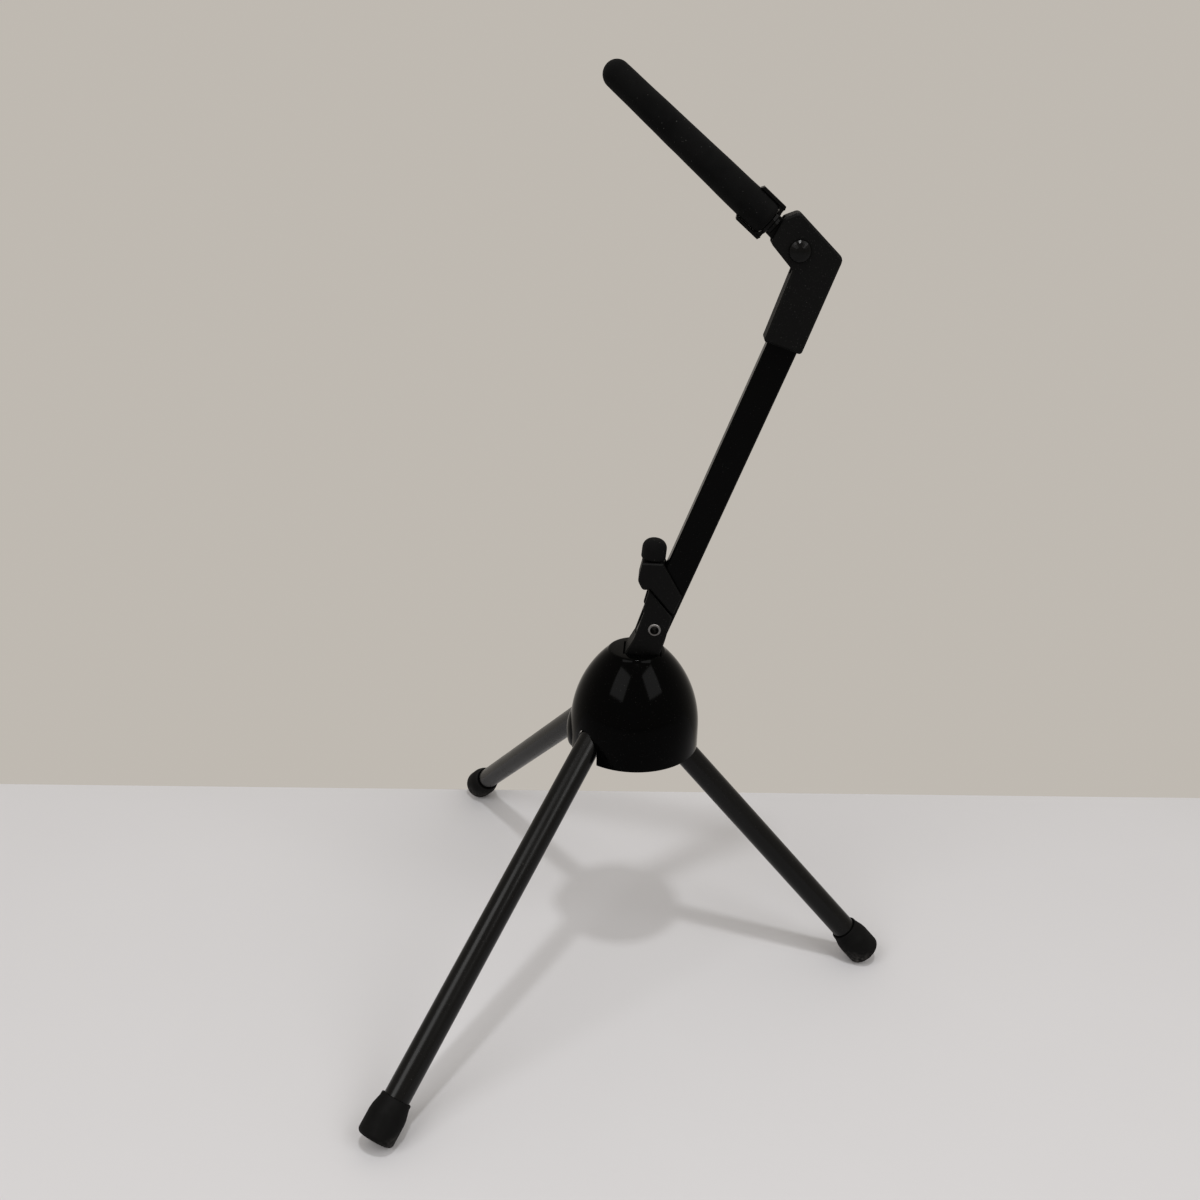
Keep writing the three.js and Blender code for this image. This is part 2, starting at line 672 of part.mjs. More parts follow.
// The slot the peg's tongue swings in, from standing to folded.
function clevisSlot() {
  const ray = (angle, length) => new THREE.Vector2(length * Math.cos(angle), length * Math.sin(angle));
  const half = TONGUE_RADIUS + 1;
  const folded = PEG_LEAN + PEG_TRAVEL;
  const upper = PEG_PIVOT.clone().add(ray(PEG_LEAN - Math.PI / 2, half));
  const lower = PEG_PIVOT.clone().add(ray(folded + Math.PI / 2, half));
  const sweep = new THREE.Shape([
    lower,
    upper,
    upper.clone().add(ray(PEG_LEAN, 40)),
    PEG_PIVOT.clone().add(ray((PEG_LEAN + folded) / 2, 60)),
    lower.clone().add(ray(folded, 40)),
  ]);
  return join(plate(sweep, CLEVIS_SLOT), disc(PEG_PIVOT.x, PEG_PIVOT.y, half, CLEVIS_SLOT));
}

const pegAxisY = (geometry) => geometry.translate(PEG_PIVOT.x, 0, PEG_PIVOT.y);

// Domed bolt through the clevis; its head is on the stand's left.
function elbowBolt() {
  const face = ELBOW_THICKNESS / 2 + GAP;
  const height = 3.4;
  const head = 6.2;
  return pegAxisY(
    turned([
      [0, -face - height],
      [2.4, -face - height + 0.25],
      [4.6, -face - height + 1.1],
      [head - 0.3, -face - 1.3],
      [head, -face - 0.6],
      [head, -face],
      [2.5, -face],
      [2.5, face + 4.2],
      [0, face + 4.2],
    ]),
  );
}

function elbowWasher() {
  const face = ELBOW_THICKNESS / 2 + GAP / 2;
  const bore = 2.5 + RUNNING;
  return pegAxisY(
    turned([
      [bore, face],
      [5.6, face],
      [5.6, face + 0.8],
      [bore, face + 0.8],
      [bore, face],
    ]),
  );
}

// Six-sided nut with chamfered corners.
function elbowNut() {
  const face = ELBOW_THICKNESS / 2 + GAP + 0.8;
  const prism = new THREE.CylinderGeometry(4.9, 4.9, 3.8, 6).translate(0, face + 1.9, 0);
  const bore = new THREE.CylinderGeometry(2.5 + RUNNING, 2.5 + RUNNING, 20, 24).translate(0, face, 0);
  return pegAxisY(cut(prism, bore));
}

// ---------------------------------------------------------------- peg
const PEG_FRAME = framedAt(PEG_PIVOT, PEG_LEAN);

// Core of the peg: a tongue on the bolt, a neck and a rod that runs up inside the foam.
function pegCore() {
  const tongue = new THREE.Shape();
  tongue.moveTo(5.8, 20);
  tongue.lineTo(-5.8, 20);
  tongue.lineTo(-TONGUE_RADIUS, 0);
  tongue.absarc(0, 0, TONGUE_RADIUS, Math.PI, 2 * Math.PI, false);
  tongue.closePath();
  const neck = turned([
    [0, 18.2],
    [5.4, 18.2],
    [5.85, 18.7],
    [5.85, FOAM_START - 2.6],
    [PEG_CORE_RADIUS, FOAM_START - 2.6],
    [PEG_CORE_RADIUS, PEG_LENGTH - 9],
    [PEG_CORE_RADIUS - 1, PEG_LENGTH - 8],
    [0, PEG_LENGTH - 8],
  ]);
  return cut(join(plate(tongue, PEG_TONGUE, 0.5), neck), disc(0, 0, 2.5 + RUNNING, 40));
}

// Collar under the foam, with a fin on its upper and lower sides.
function pegCollar() {
  const bore = PEG_CORE_RADIUS + RUNNING;
  const base = FOAM_START - 2.4;
  const ring = turned([
    [bore, base],
    [7.4, base],
    [8, base + 0.5],
    [8, FOAM_START - GAP],
    [bore, FOAM_START - GAP],
    [bore, base],
  ]);
  const width = 9;
  const fins = [-1, 1].map((side) => {
    const blade = outline([
      [side * (FIN_OUTER - FIN_THICKNESS), base],
      [side * FIN_OUTER, base + 0.8],
      [side * FIN_OUTER, FIN_END - 1.2],
      [side * (FIN_OUTER - FIN_THICKNESS), FIN_END],
    ]);
    const gusset = new THREE.Shape([
      new THREE.Vector2(side * 6.6, base + 0.4),
      new THREE.Vector2(side * 10.5, base + 0.4),
      new THREE.Vector2(side * 10.5, base + 5.2),
      new THREE.Vector2(side * 9.6, base + 5.2),
      new THREE.Vector2(side * 7.6, base + 2.1),
      new THREE.Vector2(side * 6.6, base + 2.1),
    ]);
    return join(plate(blade, width, 0.4), plate(gusset, width - 1));
  });
  return join(ring, ...fins);
}

// Foam sleeve: slightly tapered, round at the tip, softly rounded where it ends at the collar.
function pegFoam() {
  const bore = PEG_CORE_RADIUS + RUNNING;
  const soft = 4;
  return turned(
    [
      [0, PEG_LENGTH - 7.6],
      [bore, PEG_LENGTH - 7.6],
      [bore, FOAM_START],
      ...arc(FOAM_BASE_RADIUS - soft, FOAM_START + soft, soft, -Math.PI / 2, 0, 4),
      ...arc(0, PEG_LENGTH - FOAM_TIP_RADIUS, FOAM_TIP_RADIUS, 0, Math.PI / 2, 6),
    ],
    28,
  );
}

function buildPeg() {
  addPiece("elbow", "matte", elbow());
  addPiece("elbow_bolt", "gloss", elbowBolt());
  addPiece("elbow_washer", "steel", elbowWasher());
  addPiece("elbow_nut", "steel", elbowNut());
  addPiece("peg_core", "matte", pegCore(), PEG_FRAME);
  addPiece("peg_collar", "matte", pegCollar(), PEG_FRAME);
  addPiece("peg_foam", "foam", pegFoam(), PEG_FRAME);
}

buildLegs();
buildHub();
buildPost();
buildPeg();

// Put the origin on the floor in the middle of the stand's footprint.
const extent = new THREE.Box3().setFromObject(stand);
stand.position.x = -(extent.min.x + extent.max.x) / 2;

export default stand;
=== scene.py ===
"""The looks of the folding trumpet stand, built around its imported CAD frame."""

import json
import math

import bmesh
import bpy
from mathutils import Matrix, Vector, noise


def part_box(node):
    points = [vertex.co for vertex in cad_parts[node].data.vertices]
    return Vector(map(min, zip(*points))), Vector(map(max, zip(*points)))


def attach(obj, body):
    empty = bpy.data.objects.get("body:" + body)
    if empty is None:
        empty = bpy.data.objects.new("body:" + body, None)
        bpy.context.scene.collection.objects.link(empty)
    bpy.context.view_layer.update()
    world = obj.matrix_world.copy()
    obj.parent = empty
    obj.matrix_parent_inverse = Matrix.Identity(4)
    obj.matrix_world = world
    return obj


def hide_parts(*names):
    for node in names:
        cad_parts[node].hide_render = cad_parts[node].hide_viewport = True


MM = 0.001
LEG_NAMES = ("rear", "left", "right")
DOWN = Vector((0, 0, -1))

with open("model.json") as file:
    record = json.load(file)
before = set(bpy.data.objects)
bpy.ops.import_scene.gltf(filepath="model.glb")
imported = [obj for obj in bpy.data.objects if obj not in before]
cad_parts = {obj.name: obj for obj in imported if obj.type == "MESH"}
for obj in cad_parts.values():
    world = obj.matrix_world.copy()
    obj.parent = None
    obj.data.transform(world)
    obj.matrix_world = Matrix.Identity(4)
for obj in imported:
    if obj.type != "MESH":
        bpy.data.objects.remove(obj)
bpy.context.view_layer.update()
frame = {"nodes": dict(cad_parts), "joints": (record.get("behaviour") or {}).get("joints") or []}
joints = {j["name"]: j for j in frame["joints"]}


# ------------------------------------------------------------------ measuring the frame
def joint_point(name):
    return Vector(joints[name]["pos_m"])


def surface_middle(node):
    """The middle of a node's surface, which lies on the axis of a round one."""
    faces = frame["nodes"][node].data.polygons
    area = sum(face.area for face in faces)
    return sum((face.center * face.area for face in faces), Vector()) / area


def along_axis(node, pivot, along):
    """Where a node starts and ends along a line through pivot, and how far it reaches from it."""
    points = [v.co - pivot for v in frame["nodes"][node].data.vertices]
    reach = [p.dot(along) for p in points]
    radius = max((p - along * r).length for p, r in zip(points, reach))
    return min(reach), max(reach), radius


def leg_line(name):
    pivot = joint_point(f"leg_{name}_fold")
    return pivot, (surface_middle(f"leg_tube_{name}") - pivot).normalized()


# ------------------------------------------------------------------ meshes
def new_object(name, mesh_data, material, sharp_degrees=35):
    mesh = bpy.data.meshes.new(name)
    bmesh.ops.recalc_face_normals(mesh_data, faces=mesh_data.faces)
    mesh_data.to_mesh(mesh)
    mesh_data.free()
    mesh.shade_smooth()
    mesh.set_sharp_from_angle(angle=math.radians(sharp_degrees))
    mesh.materials.append(material)
    made = bpy.data.objects.new(name, mesh)
    bpy.context.scene.collection.objects.link(made)
    return made


def arc(centre_r, centre_h, radius, start, end, steps):
    """Points of a circular arc of a profile, with its angles in degrees."""
    angles = [math.radians(start + (end - start) * i / steps) for i in range(steps + 1)]
    return [(centre_r + radius * math.cos(a), centre_h + radius * math.sin(a)) for a in angles]


def revolve(profile, origin, along, segments=96, closed=False, wobble=None):
    """A bmesh turned about the line from origin along a direction, from (radius, height) pairs."""
    made = bmesh.new()
    turn = along.to_track_quat("Z", "Y").to_matrix()
    rings = []
    for radius, height in profile:
        centre = origin + along * height
        if radius < 1e-6:
            rings.append([made.verts.new(centre)])
            continue
        ring = []
        for i in range(segments):
            angle = 2 * math.pi * i / segments
            spoke = turn @ Vector((math.cos(angle), math.sin(angle), 0))
            extra = wobble(centre + spoke * radius) if wobble else 0
            ring.append(made.verts.new(centre + spoke * (radius + extra)))
        rings.append(ring)
    if closed:
        rings.append(rings[0])
    for low, high in zip(rings, rings[1:]):
        for i in range(segments):
            j = (i + 1) % segments
            below = [low[i % len(low)], low[j % len(low)]]
            above = [high[j % len(high)], high[i % len(high)]]
            made.faces.new(list(dict.fromkeys(below + above)))
    return made


def square(size):
    half = size / 2
    return [(-half, -half), (half, -half), (half, half), (-half, half)]


def prism(corners, thickness, matrix):
    """A bmesh slab from (x, y) corners, centred on its local z = 0, placed by the matrix."""
    made = bmesh.new()
    low = [made.verts.new((x, y, -thickness / 2)) for x, y in corners]
    high = [made.verts.new((x, y, thickness / 2)) for x, y in corners]
    made.faces.new(low)
    made.faces.new(list(reversed(high)))
    for i in range(len(corners)):
        j = (i + 1) % len(corners)
        made.faces.new([low[i], low[j], high[j], high[i]])
    made.transform(matrix)
    bmesh.ops.recalc_face_normals(made, faces=made.faces)
    return made


def combine(target, tools, operation="DIFFERENCE"):
    """Subtracts the tool meshes from an object for good, or adds them to it."""
    helpers = [new_object("tool", tool, target.data.materials[0]) for tool in tools]
    for helper in helpers:
        modifier = target.modifiers.new("combine", "BOOLEAN")
        modifier.operation = operation
        modifier.solver = "EXACT"
        modifier.object = helper
    evaluated = target.evaluated_get(bpy.context.evaluated_depsgraph_get())
    target.data = bpy.data.meshes.new_from_object(evaluated)
    target.modifiers.clear()
    for helper in helpers:
        bpy.data.objects.remove(helper)
    target.data.shade_smooth()
    target.data.set_sharp_from_angle(angle=math.radians(35))


def mesh_of(made):
    """Takes a finished object's shape as a bmesh and removes the object."""
    shape = bmesh.new()
    shape.from_mesh(made.data)
    bpy.data.objects.remove(made)
    return shape


def round_edges(target, width, segments=3, angle=32):
    """Rounded edges as modifiers, so that a CAD node keeps its own vertices."""
    tidy = target.modifiers.new("planes", "DECIMATE")
    tidy.decimate_type = "DISSOLVE"
    tidy.angle_limit = math.radians(0.6)
    bevel = target.modifiers.new("edges", "BEVEL")
    bevel.width = width
    bevel.segments = segments
    bevel.limit_method = "ANGLE"
    bevel.angle_limit = math.radians(angle)
    bevel.harden_normals = True
    target.data.shade_smooth()


# ------------------------------------------------------------------ materials
class Nodes:
    """Short ways to add and link shader nodes in one material."""

    def __init__(self, name):
        self.material = bpy.data.materials.new(name)
        self.material.use_nodes = True
        self.tree = self.material.node_tree
        self.shader = self.tree.nodes["Principled BSDF"]
        self.place = self.add("ShaderNodeTexCoord").outputs["Object"]

    def add(self, kind, **settings):
        node = self.tree.nodes.new(kind)
        for key, value in settings.items():
            setattr(node, key, value)
        return node

    def link(self, source, target):
        self.tree.links.new(source, target)

    def stretched(self, scale):
        mapping = self.add("ShaderNodeMapping")
        mapping.inputs["Scale"].default_value = scale
        self.link(self.place, mapping.inputs["Vector"])
        return mapping.outputs["Vector"]

    def noise(self, scale, detail=3.0, roughness=0.5, vector=None):
        node = self.add("ShaderNodeTexNoise")
        node.inputs["Scale"].default_value = scale
        node.inputs["Detail"].default_value = detail
        node.inputs["Roughness"].default_value = roughness
        self.link(vector or self.place, node.inputs["Vector"])
        return node.outputs["Fac"]

    def cells(self, scale):
        node = self.add("ShaderNodeTexVoronoi")
        node.inputs["Scale"].default_value = scale
        self.link(self.place, node.inputs["Vector"])
        return node.outputs["Distance"]

    def remap(self, source, low, high, to_low, to_high):
        node = self.add("ShaderNodeMapRange")
        node.inputs["From Min"].default_value = low
        node.inputs["From Max"].default_value = high
        node.inputs["To Min"].default_value = to_low
        node.inputs["To Max"].default_value = to_high
        self.link(source, node.inputs["Value"])
        return node.outputs["Result"]

    def maths(self, operation, first, second):
        node = self.add("ShaderNodeMath", operation=operation)
        for socket, value in zip(node.inputs, (first, second)):
            if isinstance(value, (int, float)):
                socket.default_value = value
            else:
                self.link(value, socket)
        return node.outputs["Value"]

    def mix(self, share, first, second):
        node = self.add("ShaderNodeMix", data_type="RGBA")
        self.link(share, node.inputs["Factor"])
        for socket, value in ((node.inputs["A"], first), (node.inputs["B"], second)):
            if isinstance(value, tuple):
                socket.default_value = (*value, 1.0)
            else:
                self.link(value, socket)
        return node.outputs["Result"]

    def bump(self, height, strength, distance, under=None):
        node = self.add("ShaderNodeBump")
        node.inputs["Strength"].default_value = strength
        node.inputs["Distance"].default_value = distance
        self.link(height, node.inputs["Height"])
        if under:
            self.link(under, node.inputs["Normal"])
        return node.outputs["Normal"]

    def finish(self, colour, roughness, normal, **plain):
        self.link(colour, self.shader.inputs["Base Color"])
        self.link(roughness, self.shader.inputs["Roughness"])
        self.link(normal, self.shader.inputs["Normal"])
        for key, value in plain.items():
            self.shader.inputs[key.replace("_", " ")].default_value = value
        return self.material


def grey(level, warmth=0.0):
    return (level * (1 + warmth), level, level * (1 - warmth))


def glossy_black(name, level, roughness, peel, dust, shine):
    """Gloss paint or gloss plastic: orange peel, fine scratches and a little settled dust."""
    n = Nodes(name)
    cloud = n.remap(n.noise(9, 4), 0.35, 0.7, 0, 1)
    colour = n.mix(cloud, grey(level * 0.8), grey(level * 1.25))
    scratches = n.remap(n.noise(60, 2, 0.6, n.stretched((1.0, 14.0, 1.6))), 0.66, 0.72, 0, 1)
    specks = n.remap(n.noise(1400, 2), 0.68, 0.76, 0, dust)
    colour = n.mix(specks, colour, grey(0.22, 0.03))
    rough = n.remap(n.noise(22, 5), 0.3, 0.75, roughness * 0.85, roughness * 1.3)
    rough = n.maths("ADD", rough, n.maths("MULTIPLY", scratches, 0.05))
    fine = n.bump(n.noise(420, 2), peel, 0.15 * MM)
    normal = n.bump(scratches, 0.03, 0.02 * MM, fine)
    return n.finish(colour, rough, normal, Specular_IOR_Level=shine)


def textured_plastic(name, level, roughness, grain=2600, relief=0.35):
    """Spark-textured moulding with rubbed, slightly shinier patches."""
    n = Nodes(name)
    cloud = n.remap(n.noise(35, 4), 0.35, 0.7, 0, 1)
    colour = n.mix(cloud, grey(level * 0.85, -0.02), grey(level * 1.2, 0.02))
    rubbed = n.remap(n.noise(70, 3), 0.6, 0.7, 0, 1)
    rough = n.maths("SUBTRACT", roughness, n.maths("MULTIPLY", rubbed, 0.12))
    specks = n.remap(n.noise(1800, 1), 0.7, 0.78, 0, 0.35)
    colour = n.mix(specks, colour, grey(0.16, 0.03))
    normal = n.bump(n.noise(grain, 3), relief, 0.12 * MM)
    return n.finish(colour, rough, normal, Specular_IOR_Level=0.15)


def black_rubber(name, level):
    """Moulded rubber: dull, faintly mottled, with dust that gathers towards the floor."""
    n = Nodes(name)
    cloud = n.remap(n.noise(120, 5), 0.3, 0.7, 0, 1)
    colour = n.mix(cloud, grey(level * 0.75), grey(level * 1.3))
    axes = n.add("ShaderNodeSeparateXYZ")
    n.link(n.place, axes.inputs["Vector"])
    low = n.remap(axes.outputs["Z"], 0.0, 14 * MM, 1, 0)
    dusty = n.maths("MULTIPLY", low, n.remap(n.noise(500, 4), 0.4, 0.75, 0, 0.55))
    colour = n.mix(dusty, colour, grey(0.2, 0.05))
    rough = n.remap(n.noise(90, 3), 0.3, 0.7, 0.62, 0.8)
    normal = n.bump(n.noise(1500, 3), 0.35, 0.12 * MM)
    return n.finish(colour, rough, normal, Specular_IOR_Level=0.18)


def black_foam(name, level):
    """Closed-cell foam: open pores on the skin with painted shade in them, soft mottling and faint
    lint.
    """
    n = Nodes(name)
    cloud = n.remap(n.noise(60, 5), 0.3, 0.7, 0, 1)
    colour = n.mix(cloud, grey(level * 0.8, -0.02), grey(level * 1.25, -0.01))
    pores = n.remap(n.cells(2300), 0.0, 0.55, 0, 1)
    # painted shade: the colour darkens in the pore hollows
    colour = n.mix(n.remap(pores, 0.0, 0.35, 0.7, 0), colour, grey(level * 0.35))
    lint = n.remap(n.noise(900, 1), 0.74, 0.8, 0, 0.3)
    colour = n.mix(lint, colour, grey(0.18, 0.02))
    rough = n.remap(n.noise(140, 2), 0.3, 0.7, 0.82, 0.94)
    skin = n.bump(pores, 0.45, 0.14 * MM)
    normal = n.bump(n.noise(160, 3), 0.3, 0.4 * MM, skin)
    sheen = {"Sheen_Weight": 0.03, "Sheen_Roughness": 0.5}
    return n.finish(colour, rough, normal, Specular_IOR_Level=0.12, **sheen)


def plated_steel(name, level, roughness, painted_shade_bore_axis=None):
    """Plated steel with turning marks and light tarnish, with painted shade (near-black colour)
    inside a bore along Y.
    """
    n = Nodes(name)
    tarnish = n.remap(n.noise(240, 4), 0.4, 0.7, 0, 1)
    colour = n.mix(tarnish, grey(level), grey(level * 0.7, 0.06))
    if painted_shade_bore_axis:
        across = n.add("ShaderNodeVectorMath", operation="MULTIPLY")
        across.inputs[1].default_value = (1, 0, 1)
        n.link(n.place, across.inputs[0])
        distance = n.add("ShaderNodeVectorMath", operation="DISTANCE")
        distance.inputs[1].default_value = (painted_shade_bore_axis.x, 0, painted_shade_bore_axis.z)
        n.link(across.outputs["Vector"], distance.inputs[0])
        # painted shade: inside the bore radius the colour turns near-black, standing in for the
        # shade in the hole
        clear_of_painted_bore_shade = n.remap(distance.outputs["Value"], 2.6 * MM, 2.9 * MM, 0, 1)
        colour = n.mix(clear_of_painted_bore_shade, grey(0.01), colour)
    rough = n.remap(n.noise(600, 3), 0.3, 0.7, roughness, roughness * 1.5)
    normal = n.bump(n.noise(900, 2, 0.5, n.stretched((1.0, 12.0, 1.0))), 0.15, 0.05 * MM)
    return n.finish(colour, rough, normal, Metallic=1.0)


LEG_PAINT = glossy_black("leg_paint", 0.003, 0.24, 0.05, 0.2, 0.28)
POST_PAINT = glossy_black("post_paint", 0.0015, 0.22, 0.04, 0.2, 0.08)
HUB_GLOSS = glossy_black("hub_gloss", 0.0012, 0.09, 0.03, 0.15, 0.06)
BOLT_GLOSS = glossy_black("bolt_gloss", 0.004, 0.2, 0.03, 0.1, 0.2)
BRACKET_PLASTIC = textured_plastic("bracket_plastic", 0.003, 0.5)
LEVER_PLASTIC = textured_plastic("lever_plastic", 0.003, 0.52)
ELBOW_PLASTIC = textured_plastic("elbow_plastic", 0.003, 0.55)
PEG_PLASTIC = textured_plastic("peg_plastic", 0.002, 0.35)
CORE_PLASTIC = textured_plastic("core_plastic", 0.01, 0.55)
FOOT_RUBBER = black_rubber("foot_rubber", 0.0035)
PEG_FOAM = black_foam("peg_foam", 0.0045)
GRIP_FOAM = black_foam("grip_foam", 0.0045)
STEEL = plated_steel("steel", 0.5, 0.3)
# the rivet's bore is filled with painted shade
RIVET_STEEL = plated_steel("rivet_steel", 0.2, 0.35, joint_point("post_fold"))


# ------------------------------------------------------------------ legs and feet
def painted_leg(name):
    """A steel tube with a slightly rolled edge at each end."""
    pivot, along = leg_line(name)
    start, end, radius = along_axis(f"leg_tube_{name}", pivot, along)
    wall = 1.2 * MM
    roll = 0.4 * MM
    profile = [
        (radius - wall, start),
        (radius - roll, start),
        (radius, start + roll),
        (radius, end - roll),
        (radius - roll, end),
        (radius - wall, end),
    ]
    body = revolve(profile, pivot, along, 96, closed=True)
    leg = new_object(f"painted_leg_{name}", body, LEG_PAINT)
    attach(leg, f"leg_{name}")
    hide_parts(f"leg_tube_{name}")


def rubber_foot(name):
    """A rubber cap with a rounded rim, a short taper and a worn flat where it stands."""
    pivot, along = leg_line(name)
    _, tube_end, tube_radius = along_axis(f"leg_tube_{name}", pivot, along)
    start, end, radius = along_axis(f"foot_{name}", pivot, along)
    bore = tube_radius + 0.1 * MM
    bore_end = tube_end + 0.3 * MM
    rim = 9.4 * MM
    lip = 0.55 * MM
    edge = 3 * MM
    profile = [(0, bore_end), (bore, bore_end), (bore, start + lip)]
    profile += arc(bore + lip, start + lip, lip, 180, 270, 4)
    profile += arc(rim - lip, start + lip, lip, -90, 0, 4)
    profile += [(rim + 0.05 * MM, start + 2.4 * MM), (rim + 0.5 * MM, start + 4 * MM)]
    profile += [(radius - 0.35 * MM, start + 8 * MM), (radius, start + 11 * MM)]
    profile += [(radius, end - edge - 4 * MM)]
    profile += arc(radius - edge, end - edge, edge, 0, 90, 10)
    profile += [(0, end)]
    foot = new_object(f"rubber_foot_{name}", revolve(profile, pivot, along, 96), FOOT_RUBBER)
    toe = pivot + along * end
    size = 100 * MM
    below_floor = Matrix.Translation(toe + Vector((0, 0, -toe.z - size / 2)))
    combine(foot, [prism(square(size), size, below_floor)])
    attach(foot, f"leg_{name}")
    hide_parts(f"foot_{name}")


# ------------------------------------------------------------------ soft pieces
def foam_wobble(amount, scale):
    """A foam surface is never quite true: a small smooth swell, by position."""
    return lambda point: amount * noise.noise(point * scale)


def foam_peg():
    """The tapered foam sleeve of the peg, round at the tip and soft where it ends."""
    pivot = joint_point("peg_fold")
    along = (surface_middle("peg_foam") - pivot).normalized()
    start, end, base = along_axis("peg_foam", pivot, along)
    proud = 0.22 * MM  # past the CAD surface
    base += proud
    tip = 7.7 * MM
    bore = 4.7 * MM
    bore_end = end - 8 * MM
    lip = 0.6 * MM
    soft = 3.2 * MM
    wall_top = end - tip
    wall_low = start + 15 * MM
    profile = [(0, bore_end), (bore, bore_end), (bore, start + lip)]
    profile += arc(bore + lip, start + lip, lip, 180, 270, 3)
    profile += arc(base - soft, start + soft, soft, -90, 0, 10)
    profile += [(base, start + soft + 2 * i * MM) for i in range(1, 6)]
    profile += [(base, wall_low)]
    steps = 60
    for i in range(1, steps):
        share = i / steps
        profile.append((base + (tip - base) * share, wall_low + (wall_top - wall_low) * share))
    profile += arc(0, end - tip, tip, 0, 90, 16)
    shape = revolve(profile, pivot, along, 128, wobble=foam_wobble(0.12 * MM, 90))
    peg = new_object("foam_peg", shape, PEG_FOAM, 60)
    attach(peg, "peg")
    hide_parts("peg_foam")


def foam_grip():
    """The foam cap on the lever's stub."""
    low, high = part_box("lever_grip")
    lean = math.radians(85)
    along = Vector((math.cos(lean), 0, math.sin(lean)))
    radius = (high.y - low.y) / 2
    middle = surface_middle("lever_grip")
    start, end, _ = along_axis("lever_grip", middle, along)
    bore_end = start + 7.4 * MM
    bore_inside = 3.7 * MM
    bore_mouth = 4.4 * MM
    rim = 1.2 * MM
    dome = 6 * MM
    profile = [(0, bore_end), (bore_inside, bore_end), (bore_mouth, start)]
    profile += arc(radius - rim, start + rim, rim, -90, 0, 6)
    profile += arc(radius - dome, end - dome, dome, 0, 90, 14)
    profile += [(0, end)]
    shape = revolve(profile, middle, along, 96, wobble=foam_wobble(0.1 * MM, 140))
    grip = new_object("foam_grip", shape, GRIP_FOAM, 60)
    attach(grip, "lever")
    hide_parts("lever_grip")


# ------------------------------------------------------------------ hub
WALL = 2.5 * MM
SKIRT = 14 * MM  # height of the dome's straight part
DOME_TOP_RADIUS = 17 * MM
UNDERCUT = 1 * MM  # how far the dome's hollow reaches below its base
LOBE = Vector((13, 17, 21)) * MM  # half axes of the swelling between the front legs
LOBE_RISE = 8 * MM  # from the dome's base to the middle of the swelling

# The other counts tried left more open edges, or worse, where the shell is cut.
DOME_SEGMENTS = 154
LOBE_SEGMENTS = 94


def hub_sizes():
    """Axis position, radius, base height and top height of the dome."""
    low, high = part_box("hub_shell")
    radius = (high.y - low.y) / 2
    return high.x - radius, radius, low.z, high.z


def dome_mesh(inset):
    """The dome as a full solid shrunk by the inset: straight skirt, ogive, rounded shoulder."""
    axis_x, radius, base, top = hub_sizes()
    spring = base + SKIRT
    shoulder = 1.2 * MM
    rim = 0.8 * MM
    narrowing = radius - DOME_TOP_RADIUS
    rise = top - spring
    bend = (narrowing**2 + rise**2) / (2 * narrowing)
    skin = bend - inset
    top -= inset
    last = math.degrees(math.asin((top - shoulder - spring) / skin))
    edge = radius - bend + skin * math.cos(math.radians(last))
    if inset:
        profile = [(0, base - UNDERCUT), (radius - inset, base - UNDERCUT)]
    else:
        profile = [(0, base)] + arc(radius - rim, base + rim, rim, -90, 0, 5)
    profile += arc(radius - bend, spring, skin, 0, last, 40)
    profile += [(edge - 0.25 * MM, top - 0.75 * MM), (edge - 0.7 * MM, top - 0.35 * MM)]
    profile += [(edge - 1.3 * MM, top - 0.1 * MM), (edge - 2 * MM, top), (0, top)]
    return revolve(profile, Vector((axis_x, 0, 0)), -DOWN, DOME_SEGMENTS)


def lobe_mesh(inset):
    """The swelling of the skirt between the front legs, part of an ellipsoid on the base."""
    low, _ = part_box("hub_shell")
    size = LOBE - Vector((inset, inset, inset))
    centre = Vector((low.x + LOBE.x, 0, low.z + LOBE_RISE))
    # Its floor keeps out of the planes of the dome's base and of the hollow's floor.
    offset = -1.3 * MM if inset else 0.02 * MM
    floor = low.z + offset
    first = math.asin((floor - centre.z) / size.z)
    profile = [(0, floor)]
    steps = 32
    for i in range(steps + 1):
        angle = first + (math.pi / 2 - first) * i / steps
        profile.append((size.y * math.cos(angle), centre.z + size.z * math.sin(angle)))
    lobe = revolve(profile, Vector(), -DOWN, LOBE_SEGMENTS)
    stretch = Matrix.Diagonal((size.x / size.y, 1, 1, 1))
    lobe.transform(Matrix.Translation((centre.x, 0, 0)) @ stretch)
    return lobe


def leg_slot(name):
    """An arch around the leg, open downwards, through which the leg swings when it folds."""
    pivot, along = leg_line(name)
    _, _, tube = along_axis(f"leg_tube_{name}", pivot, along)
    clearance = 0.9 * MM
    half = tube + clearance
    reach = 70 * MM
    side = (-DOWN).cross(along).normalized()
    up = along.cross(side)
    place = Matrix((side, up, along)).transposed().to_4x4()
    place.translation = pivot + along * reach / 2
    arch = arc(0, 0, half, 0, 180, 25) + [(-half, -reach), (half, -reach)]
    return prism(arch, reach, place)


def bracket_hole():
    """The opening in the dome's top, a little larger than the bracket that stands in it."""
    low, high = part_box("post_bracket")
    _, _, _, top = hub_sizes()
    room = 0.5 * MM
    left = low.x - room
    right = joint_point("post_fold").x + 5 * MM
    bottom = top - 30 * MM
    above = top + 9 * MM
    depth = high.y - low.y + 2 * room
    upright = Matrix(((1, 0, 0), (0, 0, -1), (0, 1, 0))).to_4x4()
    corners = [(left, bottom), (right, bottom), (right, above), (left, above)]
    return prism(corners, depth, upright)


